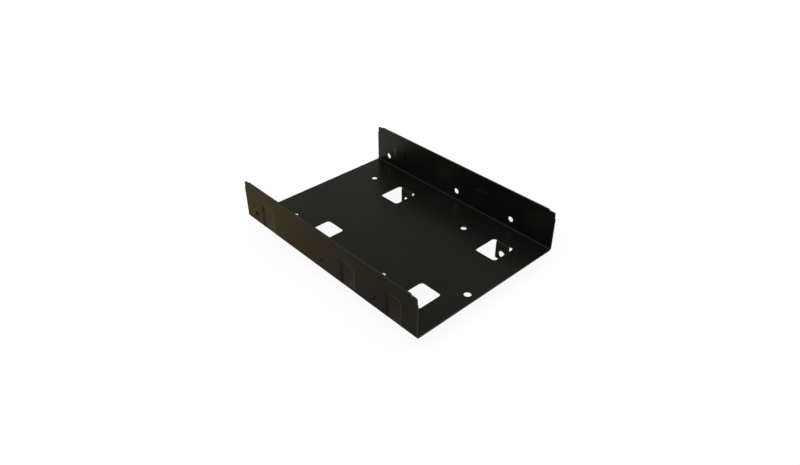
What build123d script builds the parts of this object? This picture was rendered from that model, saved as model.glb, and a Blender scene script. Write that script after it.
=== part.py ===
from build123d import *
from math import atan, cos, sin
import os

# One steel sheet folded into a channel that fills a 3.5-inch bay and carries 2.5-inch devices.
# X runs across the bay, Y along it from the near end to the far end, and Z up.
# The origin lies under the middle of the channel, level with the lower edges of its four tabs.

# Sheet and channel
sheet_t = 0.8  # thickness of the sheet
bay_w = 101.6  # width over the two walls, as a 3.5-inch device
length = 140.4  # length of the channel
wall_h = 24.6  # top of the walls above the underside of the floor
bend_r = 0.8  # inside radius of the folds between the floor and the walls

# Screw holes of the walls, in the places of a 3.5-inch device's side holes
side_hole_d = 3.4
side_hole_rise = 6.35  # above the underside of the floor
side_hole_near = 28.5  # first hole from the near end
side_hole_mid = 41.61  # second hole from the first
side_hole_far = 101.6  # third hole from the first

# Stepped corners of the walls
step_drop = 0.7  # how far the top edge is lowered beside a corner
step_run = 4.15  # length of the lowered stretch
step_inset = 0.5  # how far the end edge is set back under a corner
step_fall = 4.0  # height of the stretch that is set back
step_corner_r = 1.0  # the corner between the two

# Ribs pressed into the walls from outside, with soft sides that curve down and out again
rib_w = 11.9  # width at the outer face
rib_rise = 17.1  # top of the ribs above the underside of the floor
rib_depth = 0.55  # how deep they are pressed
rib_flank = 2.5  # width of their sides
rib_corner_r = 3.9  # corners at the outer face
rib_near = 16.0  # centres of the three ribs from the near end
rib_mid = 49.5
rib_far = 118.9
rib_sections = 5  # sections that a side is drawn through

# A 2.5-inch device, which sets the places of the tabs and of the floor's screw holes
device_w = 69.85  # its width
device_pitch = 76.6  # between its screw holes along its length
device_span = 61.72  # between its bottom screw holes across its width
device_gap = 0.15  # between its side and a tab

# Tabs folded down under the floor, two a side
tab_first = 21.0  # centre of the first pair from the near end
tab_w = 9.0  # width along the channel
tab_drop = 10.7  # lower edge below the underside of the floor
tab_corner_r = 1.0  # lower corners
tab_bend_r = 0.4  # inside radius of the fold
tab_hole_d = 4.6  # wide clearance for an M3 screw
tab_hole_drop = 6.85  # hole centre below the underside of the floor

# Openings that the tabs are cut from
opening_reach = 15.0  # from the tab's face towards the middle of the floor
opening_l = 14.0  # length along the channel
opening_r = 2.0  # corners

# Screw holes of the floor
floor_hole_d = 3.5  # clearance for an M3 screw
floor_hole_first = 46.0  # first pair from the near end
lone_hole_d = 4.0  # single hole at the near end
lone_hole_x = -10.4  # from the middle of the floor
lone_hole_y = 5.5  # from the near end

# Places that follow from these sizes
half_w = bay_w / 2
near_end = -length / 2
floor_z = tab_drop
floor_top = floor_z + sheet_t
wall_top = floor_z + wall_h
wall_inside = half_w - sheet_t
fold_r = bend_r + sheet_t
rib_top = floor_z + rib_rise
tab_face = device_w / 2 + device_gap
tab_fold = tab_face + sheet_t + tab_bend_r
opening_w = opening_reach + tab_fold - tab_face
opening_x = tab_fold - opening_w / 2
side_hole_ys = [near_end + side_hole_near + step for step in (0, side_hole_mid, side_hole_far)]
rib_ys = [near_end + place for place in (rib_near, rib_mid, rib_far)]
tab_ys = [near_end + tab_first, near_end + tab_first + device_pitch]
floor_hole_ys = [near_end + floor_hole_first, near_end + floor_hole_first + device_pitch]

# The outer face of the wall at +X, looking into the channel
wall_face = Plane(origin=(half_w, 0, 0), x_dir=(0, -1, 0), z_dir=(-1, 0, 0))


def rib_outlines(y, bottom, skin):
    """Return the outlines of a rib from its rim to its flat, on the surface that lies skin under the outer one.

    The side follows a smooth step, and skin is measured square to it, so the sheet keeps its thickness.
    """
    outlines = []
    for number in range(rib_sections):
        share = number / (rib_sections - 1)
        slope = atan(6 * share * (1 - share) * rib_depth / rib_flank)
        depth = rib_depth * share**2 * (3 - 2 * share) + skin * cos(slope)
        inset = rib_flank * share - skin * sin(slope)
        with BuildSketch(wall_face.offset(depth)) as outline:
            with Locations((-y, (bottom + rib_top) / 2)):
                RectangleRounded(rib_w - 2 * inset, rib_top - bottom - 2 * inset, rib_corner_r - inset)
        outlines.append(outline.sketch)
    return outlines


with BuildPart() as bracket:
    # Half of the channel: the floor from the middle of the bay, and a wall that stands up from it
    with BuildSketch(Plane.XZ):
        with BuildLine():
            Polyline((0, floor_z), (half_w, floor_z), (half_w, wall_top))
            offset(amount=sheet_t, side=Side.LEFT)
        make_face()
    extrude(amount=length / 2, both=True)
    fillet(edges().filter_by(Axis.Y).sort_by_distance((wall_inside, 0, floor_top))[0], radius=bend_r)

    # Ribs, as they stand out inside the wall, down to the fold
    for y in rib_ys:
        loft(rib_outlines(y, floor_top + bend_r, sheet_t))

    # Outside of the fold, and the ribs as they are pressed in from there and run out under it
    fillet(edges().filter_by(Axis.Y).sort_by_distance((half_w, 0, floor_z))[0], radius=fold_r)
    for y in rib_ys:
        loft(rib_outlines(y, floor_z - 2 * rib_corner_r, 0), mode=Mode.SUBTRACT)

    # Stepped corners, cut through the wall at both ends
    with BuildSketch(Plane.YZ):
        with BuildLine():
            Polyline(
                (length / 2 - step_run - step_drop, wall_top),
                (length / 2 - step_run, wall_top - step_drop),
                (length / 2 - step_inset, wall_top - step_drop),
                (length / 2 - step_inset, wall_top - step_fall),
                (length / 2, wall_top - step_fall - step_inset),
                (length / 2, wall_top),
                close=True,
            )
        make_face()
        corner = (length / 2 - step_inset, wall_top - step_drop)
        fillet(vertices().sort_by_distance(corner)[0], radius=step_corner_r)
        mirror(about=Plane.YZ)
    extrude(amount=half_w, mode=Mode.SUBTRACT)

    # Screw holes of the wall
    with BuildSketch(wall_face):
        with Locations(*[(-y, floor_z + side_hole_rise) for y in side_hole_ys]):
            Circle(side_hole_d / 2)
    extrude(amount=sheet_t, mode=Mode.SUBTRACT)

    # Openings of the floor
    with BuildSketch(Plane.XY.offset(floor_z)):
        with Locations(*[(opening_x, y) for y in tab_ys]):
            RectangleRounded(opening_w, opening_l, opening_r)
    extrude(amount=sheet_t, mode=Mode.SUBTRACT)

    # Tabs, folded down at the outer edge of each opening
    for y in tab_ys:
        with BuildSketch(Plane.XZ.offset(-y)):
            with BuildLine():
                FilletPolyline(
                    (tab_fold + sheet_t, floor_top),
                    (tab_face, floor_top),
                    (tab_face, 0),
                    radius=tab_bend_r + sheet_t,
                )
                offset(amount=sheet_t, side=Side.LEFT)
            make_face()
        extrude(amount=tab_w / 2, both=True)
    fillet(edges().filter_by(Axis.X).group_by(Axis.Z)[0], radius=tab_corner_r)
    with BuildSketch(Plane.YZ.offset(tab_face)):
        with Locations(*[(y, floor_z - tab_hole_drop) for y in tab_ys]):
            Circle(tab_hole_d / 2)
    extrude(amount=sheet_t, mode=Mode.SUBTRACT)

    # Screw holes of the floor
    with Locations(*[(device_span / 2, y, floor_top) for y in floor_hole_ys]):
        Hole(floor_hole_d / 2, depth=sheet_t)

    # The other half of the channel, and the single hole, which has no twin
    mirror(about=Plane.YZ)
    with Locations((lone_hole_x, near_end + lone_hole_y, floor_top)):
        Hole(lone_hole_d / 2, depth=sheet_t)

bracket.part.label = "bracket"
os.makedirs("parts", exist_ok=True)
export_step(bracket.part, "parts/bracket.step")
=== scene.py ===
"""Looks of a drive bay adapter bracket: one folded steel sheet in satin black paint.

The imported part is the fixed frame. This script rounds off the cut edges of the sheet, paints it, and sets the
floor, the lights and the camera. Lengths are in metres and angles in degrees, unless a line says otherwise.
"""

import logging
import math
from dataclasses import dataclass, replace
from enum import Enum

import bpy
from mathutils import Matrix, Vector


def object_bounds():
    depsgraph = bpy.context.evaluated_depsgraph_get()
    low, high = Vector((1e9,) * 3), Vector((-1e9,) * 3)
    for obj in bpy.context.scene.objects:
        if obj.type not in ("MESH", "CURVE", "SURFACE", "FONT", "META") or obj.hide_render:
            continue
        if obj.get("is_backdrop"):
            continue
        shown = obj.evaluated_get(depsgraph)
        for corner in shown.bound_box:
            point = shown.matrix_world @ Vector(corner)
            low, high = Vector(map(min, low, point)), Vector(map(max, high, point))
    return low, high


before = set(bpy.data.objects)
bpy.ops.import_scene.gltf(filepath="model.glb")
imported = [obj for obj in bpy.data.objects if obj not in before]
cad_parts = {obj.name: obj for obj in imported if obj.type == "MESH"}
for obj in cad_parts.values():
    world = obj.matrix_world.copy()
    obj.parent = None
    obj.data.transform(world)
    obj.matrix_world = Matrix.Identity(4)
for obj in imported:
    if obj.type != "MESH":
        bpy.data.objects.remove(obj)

MM = 0.001
log = logging.getLogger("bracket_scene")

Colour = tuple[float, float, float]
Point = tuple[float, float, float]
Node = bpy.types.Node
Socket = bpy.types.NodeSocket
NodeTree = bpy.types.NodeTree

WHITE: Colour = (1.0, 1.0, 1.0)

# Places of a colour mix's sockets on a Mix node, where other kinds of mix use the same names
MIX_FIRST = 6
MIX_SECOND = 7
MIX_RESULT = 2


class ViewTransform(Enum):
    """Ways of turning light into picture colours."""

    STANDARD = "Standard"


class Coat(Enum):
    """The coats of paint on the sheet, as numbers of material slots.

    FACE lies on the pressed faces, EDGE on rounded edges and on the cut faces at the two ends, CUT on the
    other cut faces, and RIM on the rounded edges along the outline. EDGE and RIM are lighter than FACE: partly
    thinner paint on the edges, partly a painted highlight along them.
    """

    FACE = 0
    EDGE = 1
    CUT = 2
    RIM = 3


def rgba(colour: Colour) -> tuple[float, float, float, float]:
    """Return an opaque colour with its fourth number."""
    return (*colour, 1.0)


def direction(azimuth: float, elevation: float) -> Vector:
    """Point from the object to a viewer.

    Args:
        azimuth: angle round the object, 0 from the near end and 90 from the right.
        elevation: angle above the horizon.

    Returns:
        A unit vector.
    """
    turn = math.radians(azimuth)
    rise = math.radians(elevation)
    return Vector((
        math.sin(turn) * math.cos(rise),
        -math.cos(turn) * math.cos(rise),
        math.sin(rise),
    ))


@dataclass
class NodeSheet:
    """A node tree that is written one node at a time.

    Args:
        tree: the tree of a material, a world or a node group.
    """

    tree: NodeTree

    def add(self, kind: str, **settings: object) -> Node:
        """Add a node.

        Args:
            kind: Blender's name for the kind of node.
            settings: properties of the node.

        Returns:
            The new node.
        """
        node = self.tree.nodes.new(kind)
        for name, value in settings.items():
            setattr(node, name, value)
        return node

    def plug(self, socket: Socket, value: object) -> None:
        """Give an input its value.

        Args:
            socket: the input.
            value: a socket to link it to, or a plain value to set.
        """
        if isinstance(value, Socket):
            self.tree.links.new(value, socket)
        else:
            socket.default_value = value

    def feed(self, node: Node, **inputs: object) -> Node:
        """Give a node its inputs.

        Args:
            node: the node that takes the inputs.
            inputs: for each input, spelled with underscores, a socket to link or a value to set.

        Returns:
            The same node.
        """
        for name, value in inputs.items():
            self.plug(node.inputs[name.replace("_", " ")], value)
        return node

    def split(self, vector: Socket) -> Node:
        """Add a node whose outputs X, Y and Z are the parts of a vector."""
        return self.feed(self.add("ShaderNodeSeparateXYZ"), Vector=vector)

    def math(self, operation: str, first: Socket | float, second: Socket | float = 0.0) -> Socket:
        """Add a sum.

        Args:
            operation: the kind of sum.
            first: its first number.
            second: its second number, where it takes two.

        Returns:
            Its result.
        """
        node = self.add("ShaderNodeMath", operation=operation)
        for socket, value in zip(node.inputs, (first, second)):
            self.plug(socket, value)
        return node.outputs[0]

    def noise(self, vector: Socket, scale: Socket | float, detail: float, roughness: float) -> Socket:
        """Add a noise texture.

        Args:
            vector: where the noise is read.
            scale: how fine it is.
            detail: octaves of finer noise.
            roughness: how strong the finer octaves are.

        Returns:
            Its value.
        """
        node = self.add("ShaderNodeTexNoise")
        self.feed(node, Vector=vector, Scale=scale, Detail=detail, Roughness=roughness)
        return node.outputs["Fac"]

    def ramp(self, value: Socket, start: float, end: float, low: float = 0.0, high: float = 1.0) -> Socket:
        """Add a smooth step.

        Args:
            value: what is read.
            start: value at which the step begins.
            end: value at which it is complete.
            low: result before the step.
            high: result after it.

        Returns:
            The result of the step.
        """
        node = self.add("ShaderNodeMapRange", interpolation_type="SMOOTHSTEP")
        self.feed(node, Value=value, From_Min=start, From_Max=end, To_Min=low, To_Max=high)
        return node.outputs["Result"]

    def blend(self, share: Socket, first: Socket | Colour, second: Socket | Colour) -> Socket:
        """Add a mix of two colours.

        Args:
            share: share of the second colour.
            first: the first colour.
            second: the second colour.

        Returns:
            The mixed colour.
        """
        node = self.feed(self.add("ShaderNodeMix", data_type="RGBA"), Factor=share)
        for number, colour in ((MIX_FIRST, first), (MIX_SECOND, second)):
            self.plug(node.inputs[number], colour if isinstance(colour, Socket) else rgba(colour))
        return node.outputs[MIX_RESULT]

    def place(self, group: NodeTree, **inputs: object) -> Node:
        """Place a shader node group.

        Args:
            group: the group's own tree.
            inputs: its inputs, as for feed.

        Returns:
            The node that stands for the group here.
        """
        return self.feed(self.add("ShaderNodeGroup", node_tree=group), **inputs)


@dataclass
class GroupSheet(NodeSheet):
    """A node sheet inside a node group.

    Args:
        entry: the node that gives the group's inputs.
        exit: the node that takes its outputs.
    """

    entry: Node
    exit: Node

    @classmethod
    def start(cls, kind: str, name: str, inputs: dict[str, str], outputs: dict[str, str]) -> "GroupSheet":
        """Begin a group.

        Args:
            kind: Blender's name for the kind of node tree.
            name: name of the group.
            inputs: for each input, Blender's name for its kind of socket.
            outputs: the same for each output.

        Returns:
            The empty sheet.
        """
        tree = bpy.data.node_groups.new(name, kind)
        for side, sockets in (("INPUT", inputs), ("OUTPUT", outputs)):
            for label, socket_kind in sockets.items():
                tree.interface.new_socket(label, in_out=side, socket_type=socket_kind)
        return cls(tree, tree.nodes.new("NodeGroupInput"), tree.nodes.new("NodeGroupOutput"))

    @classmethod
    def start_modifier(cls, name: str) -> "GroupSheet":
        """Begin a group of geometry nodes, which takes a mesh and gives it back changed."""
        mesh = {"Geometry": "NodeSocketGeometry"}
        return cls.start("GeometryNodeTree", name, mesh, mesh)


@dataclass(frozen=True)
class Studio:
    """White surroundings, and the soft light that falls from them.

    Args:
        ambient: strength of the light from all around.
        floor_colour: colour of the floor under the light.
        floor_radius: how far the floor reaches.
        floor_sides: sides of the floor's round outline.
        white: strength at which the floor is seen, white where no shadow falls on it.
        shadow_share: share of the floor's own shading that the camera sees beside the object.
        shadow_reach: radius inside which that share is whole.
        shadow_end: radius where it has faded out.
        sky_mirrored: colour of the surroundings as the paint mirrors them.
        near_mirrored: colour of the floor's near side as the paint mirrors it, dark and warm: painted shade.
        left_mirrored: colour of its far left side, warm: painted lamp light.
        right_mirrored: colour of its far right side, bright: painted light.
        near_limit: where the near side ends.
        far_limit: where the far side begins.
        left_limit: where the left side ends.
        right_limit: where the right side begins.
        shadow_under_mirrored: colour of the floor under the object as the paint mirrors it, darker: a painted
            shadow.
        under_left: left limit of the floor that counts as under the object, where that painted shadow lies.
        under_far: far limit of it.
    """

    ambient: float = 0.275
    floor_colour: Colour = (0.90, 0.90, 0.89)
    floor_radius: float = 3.0
    floor_sides: int = 96
    white: float = 1.02
    shadow_share: float = 0.09
    shadow_reach: float = 0.16
    shadow_end: float = 0.45
    sky_mirrored: Colour = (0.41, 0.42, 0.335)
    # Painted light and shade on the floor, which only reflections see.
    near_mirrored: Colour = (0.27, 0.195, 0.135)
    left_mirrored: Colour = (0.57, 0.41, 0.19)
    right_mirrored: Colour = (0.78, 0.80, 0.70)
    near_limit: float = -0.03
    far_limit: float = 0.11
    left_limit: float = -0.04
    right_limit: float = 0.02
    shadow_under_mirrored: Colour = (0.22, 0.22, 0.16)
    under_left: float = -0.048
    under_far: float = 0.066

    def backdrop(self, sheet: NodeSheet, mirrored: Socket | Colour) -> tuple[Socket, Socket]:
        """Add the colour of the surroundings, and a mask of the rays that see it.

        Args:
            sheet: the node tree to add to.
            mirrored: colour that glossy and transmission rays see.

        Returns:
            The colour, white for the camera, and a socket that is 1 for those rays and 0 for the rest.
        """
        path = sheet.add("ShaderNodeLightPath")
        bounced = sheet.math("MAXIMUM", path.outputs["Is Glossy Ray"], path.outputs["Is Transmission Ray"])
        seen = sheet.math("MAXIMUM", path.outputs["Is Camera Ray"], bounced)
        return sheet.blend(bounced, WHITE, mirrored), seen

    def build_world(self) -> None:
        """Make the world: soft light from all around, and white where it is seen."""
        world = bpy.data.worlds.new("white_studio")
        world.use_nodes = True
        bpy.context.scene.world = world
        sheet = NodeSheet(world.node_tree)
        colour, seen = self.backdrop(sheet, self.sky_mirrored)
        strength = sheet.add("ShaderNodeMapRange")
        sheet.feed(strength, Value=seen, To_Min=self.ambient, To_Max=1.0)
        sheet.feed(world.node_tree.nodes["Background"], Color=colour, Strength=strength.outputs["Result"])

    def floor_mirrored(self, sheet: NodeSheet, place: Socket) -> Socket:
        """Add the colour of the floor as the paint mirrors it, with painted light and shade on it: lamp light
        on the far sides, shade on the near side and a painted shadow under the object.

        Args:
            sheet: the node tree to add to.
            place: where the floor is seen.

        Returns:
            The colour.
        """
        parts = sheet.split(place)
        rightness = sheet.ramp(parts.outputs["X"], self.left_limit, self.right_limit)
        farness = sheet.ramp(parts.outputs["Y"], self.near_limit, self.far_limit)
        far = sheet.blend(rightness, self.left_mirrored, self.right_mirrored)
        beside = sheet.blend(farness, self.near_mirrored, far)
        # Painted shadow of the object on the floor, which only reflections see.
        under = sheet.math(
            "MULTIPLY",
            sheet.math("GREATER_THAN", parts.outputs["X"], self.under_left),
            sheet.math("LESS_THAN", parts.outputs["Y"], self.under_far),
        )
        return sheet.blend(under, beside, self.shadow_under_mirrored)

    def floor_material(self) -> bpy.types.Material:
        """Make the floor's material.

        Returns:
            A pale matt surface that is seen as white, apart from a soft shadow near the object.
        """
        material = bpy.data.materials.new("pale_floor")
        material.use_nodes = True
        nodes = material.node_tree.nodes
        nodes.remove(nodes["Principled BSDF"])
        sheet = NodeSheet(material.node_tree)
        place = sheet.add("ShaderNodeTexCoord").outputs["Object"]
        radius = sheet.add("ShaderNodeVectorMath", operation="LENGTH")
        sheet.plug(radius.inputs[0], place)
        plain = sheet.ramp(
            radius.outputs["Value"], self.shadow_reach, self.shadow_end, low=1.0 - self.shadow_share
        )
        colour, seen = self.backdrop(sheet, self.floor_mirrored(sheet, place))
        matt = sheet.feed(sheet.add("ShaderNodeBsdfDiffuse"), Color=rgba(self.floor_colour))
        glow = sheet.feed(sheet.add("ShaderNodeEmission"), Color=colour, Strength=self.white)
        mix = sheet.add("ShaderNodeMixShader")
        inputs = (sheet.math("MULTIPLY", plain, seen), matt.outputs[0], glow.outputs[0])
        for socket, value in zip(mix.inputs, inputs):
            sheet.plug(socket, value)
        sheet.feed(nodes["Material Output"], Surface=mix.outputs[0])
        return material

    def build_floor(self, height: float) -> bpy.types.Object:
        """Make the floor.

        Args:
            height: level of the floor.

        Returns:
            The floor, marked as backdrop.
        """
        bpy.ops.object.select_all(action="DESELECT")
        bpy.ops.mesh.primitive_circle_add(
            vertices=self.floor_sides, radius=self.floor_radius, fill_type="NGON", location=(0.0, 0.0, height)
        )
        floor = bpy.context.object
        floor.name = "floor"
        floor.data.materials.append(self.floor_material())
        floor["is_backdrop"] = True
        return floor


@dataclass(frozen=True)
class SoftBox:
    """A square studio lamp with white light that points at the object.

    Args:
        name: what the lamp is for.
        azimuth: where it stands round the object, as the camera's azimuth.
        elevation: how high it stands.
        distance: how far it stands from the object.
        width: side of the lamp.
        power: strength in watts.
    """

    name: str
    azimuth: float
    elevation: float
    distance: float
    width: float
    power: float

    def build(self, aim: Vector) -> bpy.types.Object:
        """Hang the lamp.

        Args:
            aim: the point that it lights.

        Returns:
            The lamp.
        """
        data = bpy.data.lights.new(self.name, "AREA")
        data.shape = "SQUARE"
        data.size = self.width
        data.energy = self.power
        lamp = bpy.data.objects.new(self.name, data)
        bpy.context.scene.collection.objects.link(lamp)
        back = direction(self.azimuth, self.elevation)
        lamp.location = aim + back * self.distance
        lamp.rotation_euler = (-back).to_track_quat("-Z", "Y").to_euler()
        return lamp


LAMPS = (
    SoftBox("key", azimuth=-75.0, elevation=55.0, distance=0.9, width=0.7, power=4.5),
    SoftBox("top", azimuth=20.0, elevation=75.0, distance=1.0, width=0.9, power=4.0),
    SoftBox("left_edge", azimuth=-128.0, elevation=31.0, distance=0.9, width=0.5, power=0.56),
    SoftBox("front_edge", azimuth=38.0, elevation=32.0, distance=0.9, width=0.5, power=0.28),
)


@dataclass(frozen=True)
class PhotoCamera:
    """The camera at the photograph's viewing angle.

    Args:
        aim: the point at the middle of the picture.
        azimuth: where it stands round the object.
        elevation: how high it stands.
        distance: how far it stands from its aim.
        lens: focal length in millimetres.
        sensor: width of the picture in millimetres, at that focal length.
        nearest: distance under which it sees nothing.
    """

    aim: Point = (-4.02 * MM, -8.69 * MM, 17.0 * MM)
    azimuth: float = -43.002
    elevation: float = 35.034
    distance: float = 367.0 * MM
    lens: float = 30.185
    sensor: float = 36.0
    nearest: float = 1.0 * MM

    def build(self) -> bpy.types.Object:
        """Place the camera and make it the scene's own.

        Returns:
            The camera.
        """
        data = bpy.data.cameras.new("photo_camera")
        data.lens = self.lens
        data.sensor_width = self.sensor
        data.clip_start = self.nearest
        camera = bpy.data.objects.new("photo_camera", data)
        bpy.context.scene.collection.objects.link(camera)
        back = direction(self.azimuth, self.elevation)
        camera.location = Vector(self.aim) + back * self.distance
        camera.rotation_euler = (-back).to_track_quat("-Z", "Y").to_euler()
        bpy.context.scene.camera = camera
        return camera


@dataclass(frozen=True)
class NoiseMask:
    """A mask with soft borders, taken from a noise texture.

    Args:
        scale: how fine the noise is.
        detail: octaves of finer noise.
        roughness: how strong the finer octaves are.
        start: value of the noise at which the mask begins.
        end: value at which it is full.
    """

    scale: float
    detail: float
    roughness: float
    start: float
    end: float

    def add(self, sheet: NodeSheet, place: Socket) -> Socket:
        """Add the mask to a node tree, as it is read at a place."""
        return sheet.ramp(sheet.noise(place, self.scale, self.detail, self.roughness), self.start, self.end)


@dataclass(frozen=True)
class OrangePeel:
    """The fine unevenness of sprayed paint: a fine noise over a broad one.

    Args:
        fine_detail: octaves of the fine noise.
        fine_share: strength of the fine noise beside the broad one.
        broad_detail: octaves of the broad noise.
        broad_scale: scale of the broad noise as a share of the fine one's.
        roughness: how strong the finer octaves are in both.
    """

    fine_detail: float = 2.0
    fine_share: float = 0.6
    broad_detail: float = 1.0
    broad_scale: float = 0.3
    roughness: float = 0.5

    def build(self) -> NodeTree:
        """Build the node group.

        Returns:
            A group whose output is a height.
        """
        sheet = GroupSheet.start(
            "ShaderNodeTree",
            "orange_peel",
            inputs={"Place": "NodeSocketVector", "Grain": "NodeSocketFloat"},
            outputs={"Height": "NodeSocketFloat"},
        )
        place = sheet.entry.outputs["Place"]
        grain = sheet.entry.outputs["Grain"]
        fine = sheet.noise(place, grain, self.fine_detail, self.roughness)
        broad_grain = sheet.math("MULTIPLY", grain, self.broad_scale)
        broad = sheet.noise(place, broad_grain, self.broad_detail, self.roughness)
        height = sheet.math("ADD", sheet.math("MULTIPLY", fine, self.fine_share), broad)
        sheet.feed(sheet.exit, Height=height)
        return sheet.tree


@dataclass(frozen=True)
class PaintFilm:
    """The cloudy tone of the film, and the dull streaks where it has slid in a bay.

    Args:
        clouds: where the film is a little thinner.
        streaks: the fine streaks along the sheet.
        patches: where they lie.
        drawn_out: scale of the streaks along each axis, low along the sheet.
    """

    clouds: NoiseMask = NoiseMask(scale=45.0, detail=5.0, roughness=0.6, start=0.3, end=0.7)
    streaks: NoiseMask = NoiseMask(scale=1100.0, detail=3.0, roughness=0.6, start=0.55, end=0.75)
    patches: NoiseMask = NoiseMask(scale=38.0, detail=2.0, roughness=0.5, start=0.48, end=0.68)
    drawn_out: Point = (1.0, 0.05, 1.0)

    def build(self) -> NodeTree:
        """Build the node group.

        Returns:
            A group whose outputs are two masks.
        """
        sheet = GroupSheet.start(
            "ShaderNodeTree",
            "paint_film",
            inputs={"Place": "NodeSocketVector"},
            outputs={"Cloud": "NodeSocketFloat", "Rub": "NodeSocketFloat"},
        )
        place = sheet.entry.outputs["Place"]
        along = sheet.add("ShaderNodeVectorMath", operation="MULTIPLY")
        for socket, value in zip(along.inputs, (place, self.drawn_out)):
            sheet.plug(socket, value)
        streaks = self.streaks.add(sheet, along.outputs["Vector"])
        patches = self.patches.add(sheet, place)
        cloud = self.clouds.add(sheet, place)
        sheet.feed(sheet.exit, Cloud=cloud, Rub=sheet.math("MULTIPLY", streaks, patches))
        return sheet.tree


@dataclass(frozen=True)
class PaintEffects:
    """The node groups that all coats of paint share.

    Args:
        peel: the orange peel.
        film: the tone and the streaks of the film.
    """

    peel: NodeTree
    film: NodeTree


@dataclass(frozen=True)
class SatinPaint:
    """Satin black paint on steel.

    Args:
        name: name of the material.
        colour: colour of the paint.
        thin_colour: colour where the film is a little thinner.
        rub_colour: colour where it has been rubbed.
        roughness: how dull it is.
        rub_roughness: how much duller it is where it has been rubbed.
        specular: strength of its gloss.
        rub_share: share of the rubbed colour that shows.
        grain: fineness of its orange peel.
        peel: strength of its orange peel.
        peel_depth: depth of its orange peel.
    """

    name: str
    colour: Colour
    thin_colour: Colour
    rub_colour: Colour
    roughness: float
    rub_roughness: float
    specular: float
    rub_share: float = 0.6
    grain: float = 900.0
    peel: float = 0.5
    peel_depth: float = 0.02 * MM

    def material(self, effects: PaintEffects) -> bpy.types.Material:
        """Mix the paint.

        Args:
            effects: the node groups that all coats share.

        Returns:
            Its material.
        """
        material = bpy.data.materials.new(self.name)
        material.use_nodes = True
        sheet = NodeSheet(material.node_tree)
        place = sheet.add("ShaderNodeTexCoord").outputs["Object"]
        film = sheet.place(effects.film, Place=place)
        peel = sheet.place(effects.peel, Place=place, Grain=self.grain)
        tone = sheet.blend(film.outputs["Cloud"], self.colour, self.thin_colour)
        rubbed = sheet.math("MULTIPLY", film.outputs["Rub"], self.rub_share)
        dull = sheet.math("MULTIPLY", film.outputs["Rub"], self.rub_roughness)
        bump = sheet.add("ShaderNodeBump")
        sheet.feed(bump, Height=peel.outputs["Height"], Strength=self.peel, Distance=self.peel_depth)
        sheet.feed(
            material.node_tree.nodes["Principled BSDF"],
            Base_Color=sheet.blend(rubbed, tone, self.rub_colour),
            Roughness=sheet.math("ADD", dull, self.roughness),
            Specular_IOR_Level=self.specular,
            Normal=bump.outputs["Normal"],
        )
        return material


FACE_PAINT = SatinPaint(
    "black_paint_face",
    colour=(0.0030, 0.0033, 0.0027),
    thin_colour=(0.0042, 0.0045, 0.0038),
    rub_colour=(0.0130, 0.0127, 0.0112),
    roughness=0.33,
    rub_roughness=0.15,
    specular=0.20,
)
# Lighter than the face paint: partly thinner paint on the edges, partly a painted highlight along the rounded
# edges and end faces.
EDGE_PAINT_AND_HIGHLIGHT = SatinPaint(
    "black_paint_edge_and_highlight",
    colour=(0.010, 0.010, 0.0084),
    thin_colour=(0.018, 0.0174, 0.015),
    rub_colour=(0.032, 0.0304, 0.0272),
    roughness=0.30,
    rub_roughness=0.08,
    specular=0.24,
)
PAINTS = {
    Coat.FACE: FACE_PAINT,
    Coat.EDGE: EDGE_PAINT_AND_HIGHLIGHT,
    Coat.CUT: replace(FACE_PAINT, name="black_paint_cut", specular=0.03),
    # The rim keeps the edge's lighter colours, so it carries the same painted highlight, with a stronger gloss.
    Coat.RIM: replace(EDGE_PAINT_AND_HIGHLIGHT, name="black_paint_rim_and_highlight", specular=1.0),
}


@dataclass(frozen=True)
class Outline:
    """Where the sheet's outline lies, and the faces that follow from it.

    Args:
        top: level of the walls' upper edges.
        reach: half the length of the sheet.
        margin: how far from the outline an edge still belongs to it.
        wall_share: share of the full height above which every level face is the top of a wall.
        facing: how squarely a cut face looks along the sheet, or up.
    """

    top: float
    reach: float
    margin: float = 1.0 * MM
    wall_share: float = 0.6
    facing: float = 0.6

    def to_end(self, sheet: NodeSheet, place: Socket) -> Socket:
        """Add the distance from a place to the nearer end of the sheet."""
        return sheet.math("SUBTRACT", self.reach, sheet.math("ABSOLUTE", sheet.split(place).outputs["Y"]))

    def looks_along(self, sheet: NodeSheet, normal: Socket) -> Socket:
        """Add a mask of the faces that look along the sheet, to either end."""
        lengthwise = sheet.math("ABSOLUTE", sheet.split(normal).outputs["Y"])
        return sheet.math("GREATER_THAN", lengthwise, self.facing)

    def rim(self, sheet: NodeSheet, place: Socket) -> Socket:
        """Add a mask of the edges along the outline.

        Args:
            sheet: the node tree to add to.
            place: where a face lies.

        Returns:
            A socket that is 1 along the top of the walls and along the two ends, and 0 elsewhere.
        """
        below = sheet.math("SUBTRACT", self.top, sheet.split(place).outputs["Z"])
        nearest = sheet.math("MINIMUM", below, self.to_end(sheet, place))
        return sheet.math("LESS_THAN", nearest, self.margin)

    def end_faces(self, sheet: NodeSheet, place: Socket, normal: Socket) -> Socket:
        """Add a mask of the cut faces at the two ends of the sheet.

        Args:
            sheet: the node tree to add to.
            place: where a face lies.
            normal: which way it looks.

        Returns:
            A socket that is 1 on faces at the ends that look along the sheet, and 0 elsewhere.
        """
        at_end = sheet.math("LESS_THAN", self.to_end(sheet, place), self.margin)
        return sheet.math("MULTIPLY", self.looks_along(sheet, normal), at_end)

    def cut_faces(self, sheet: NodeSheet, place: Socket, normal: Socket) -> Socket:
        """Add a mask of the faces where the sheet was cut.

        Args:
            sheet: the node tree to add to.
            place: where a face lies.
            normal: which way it looks.

        Returns:
            A socket that is 1 on faces that look along the sheet and on top of the walls, and 0 elsewhere.
        """
        level = sheet.math("GREATER_THAN", sheet.split(normal).outputs["Z"], self.facing)
        high = sheet.math("GREATER_THAN", sheet.split(place).outputs["Z"], self.top * self.wall_share)
        wall_top = sheet.math("MULTIPLY", level, high)
        return sheet.math("MAXIMUM", self.looks_along(sheet, normal), wall_top)


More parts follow.
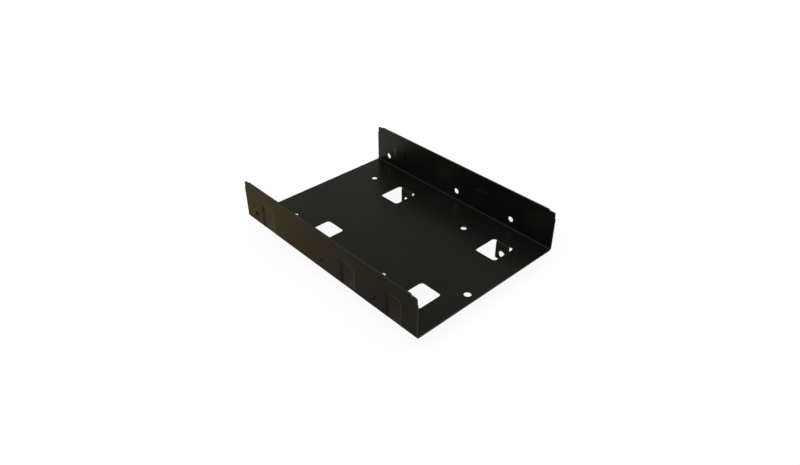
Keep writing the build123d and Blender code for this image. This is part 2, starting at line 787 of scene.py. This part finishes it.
@dataclass(frozen=True)
class FoldedSheet:
    """The bracket itself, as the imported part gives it.

    Args:
        node: name of its node.
        weld: gap under which its loose triangles are joined.
        flat_angle: bend under which neighbouring triangles are one flat face.
        edge_angle: bend outwards over which an edge is a cut edge.
        edge_round: how far a cut edge is rounded off.
        edge_steps: facets across the rounding.
        smooth_angle: bend up to which the shading runs on over an edge.
    """

    node: str = "bracket"
    weld: float = 0.001 * MM
    flat_angle: float = 0.05
    edge_angle: float = 55.0
    edge_round: float = 0.14 * MM
    edge_steps: int = 2
    smooth_angle: float = 48.0

    @property
    def piece(self) -> bpy.types.Object:
        """The sheet's object in the frame."""
        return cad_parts[self.node]

    def dress(self) -> None:
        """Paint the sheet, with one material slot for each coat."""
        effects = PaintEffects(peel=OrangePeel().build(), film=PaintFilm().build())
        materials = self.piece.data.materials
        materials.clear()
        for coat in Coat:
            materials.append(PAINTS[coat].material(effects))

    def round_edges(self, outline: Outline) -> None:
        """Round off the cut edges of the sheet, and tell its coats of paint apart.

        Args:
            outline: where the sheet's outline lies.
        """
        modifiers = self.piece.modifiers
        weld = modifiers.new("join_triangles", "WELD")
        weld.merge_threshold = self.weld
        flat = modifiers.new("flat_faces", "DECIMATE")
        flat.decimate_type = "DISSOLVE"
        flat.angle_limit = math.radians(self.flat_angle)
        mark = modifiers.new("mark_edges", "NODES")
        mark.node_group = self.mark_group()
        bevel = modifiers.new("round_edges", "BEVEL")
        bevel.limit_method = "WEIGHT"
        bevel.width = self.edge_round
        bevel.segments = self.edge_steps
        bevel.use_clamp_overlap = False
        bevel.loop_slide = False
        bevel.material = Coat.EDGE.value
        finish = modifiers.new("smooth_and_coat", "NODES")
        finish.node_group = self.finish_group(outline)
        even = modifiers.new("even_shading", "WEIGHTED_NORMAL")
        even.keep_sharp = True

    def mark_group(self) -> NodeTree:
        """Build the geometry nodes that mark the outer corners of the cut edges, which are rounded off.

        Returns:
            Their group.
        """
        sheet = GroupSheet.start_modifier("mark_edges")
        bend = sheet.add("GeometryNodeInputMeshEdgeAngle").outputs["Signed Angle"]
        marked = sheet.feed(
            sheet.add("GeometryNodeStoreNamedAttribute", data_type="FLOAT", domain="EDGE"),
            Geometry=sheet.entry.outputs["Geometry"],
            Name="bevel_weight_edge",
            Value=sheet.math("GREATER_THAN", bend, math.radians(self.edge_angle)),
        )
        sheet.feed(sheet.exit, Geometry=marked.outputs["Geometry"])
        return sheet.tree

    def finish_group(self, outline: Outline) -> NodeTree:
        """Build the geometry nodes that shade the folds and the ribs smoothly and set the coats apart.

        Args:
            outline: where the sheet's outline lies.

        Returns:
            Their group.
        """
        sheet = GroupSheet.start_modifier("smooth_and_coat")
        bare = sheet.feed(
            sheet.add("GeometryNodeRemoveAttribute"),
            Geometry=sheet.entry.outputs["Geometry"],
            Name="custom_normal",
        )
        faces = sheet.feed(
            sheet.add("GeometryNodeSetShadeSmooth", domain="FACE"),
            Geometry=bare.outputs["Geometry"],
            Shade_Smooth=True,
        )
        bend = sheet.add("GeometryNodeInputMeshEdgeAngle").outputs["Unsigned Angle"]
        edges = sheet.feed(
            sheet.add("GeometryNodeSetShadeSmooth", domain="EDGE"),
            Geometry=faces.outputs["Geometry"],
            Shade_Smooth=sheet.math("LESS_THAN", bend, math.radians(self.smooth_angle)),
        )
        place = sheet.add("GeometryNodeInputPosition").outputs["Position"]
        normal = sheet.add("GeometryNodeInputNormal").outputs["Normal"]
        mesh = edges.outputs["Geometry"]
        for mask, old, new in (
            (outline.rim(sheet, place), Coat.EDGE, Coat.RIM),
            (outline.end_faces(sheet, place, normal), Coat.FACE, Coat.EDGE),
            (outline.cut_faces(sheet, place, normal), Coat.FACE, Coat.CUT),
        ):
            mesh = self.recoat(sheet, mesh, mask, old, new)
        sheet.feed(sheet.exit, Geometry=mesh)
        return sheet.tree

    def recoat(self, sheet: NodeSheet, mesh: Socket, mask: Socket, old: Coat, new: Coat) -> Socket:
        """Add a change of coat on some faces.

        Args:
            sheet: the node tree to add to.
            mesh: the faces.
            mask: a socket that is 1 where the change is wanted.
            old: the coat that is changed there.
            new: the coat that takes its place.

        Returns:
            The faces with their coats.
        """
        coat = sheet.add("GeometryNodeInputMaterialIndex").outputs["Material Index"]
        changed = sheet.feed(
            sheet.add("GeometryNodeSetMaterialIndex"),
            Geometry=mesh,
            Selection=sheet.math("MULTIPLY", mask, sheet.math("COMPARE", coat, float(old.value))),
            Material_Index=new.value,
        )
        return changed.outputs["Geometry"]


def main() -> None:
    """Build the pieces in order and report each of them."""
    logging.basicConfig(level=logging.INFO, format="%(name)s: %(message)s")
    cad_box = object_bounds()
    low, high = cad_box
    bracket = FoldedSheet()
    bracket.dress()
    bracket.round_edges(Outline(top=high.z, reach=high.y))
    log.info("painted %s", bracket.node)
    bpy.context.scene.view_settings.view_transform = ViewTransform.STANDARD.value
    studio = Studio()
    studio.build_world()
    floor = studio.build_floor(low.z)
    log.info("laid %s", floor.name)
    for lamp in LAMPS:
        lamp.build((low + high) / 2)
        log.info("hung lamp %s", lamp.name)
    camera = PhotoCamera().build()
    log.info("placed %s", camera.name)


if __name__ == "__main__":
    main()
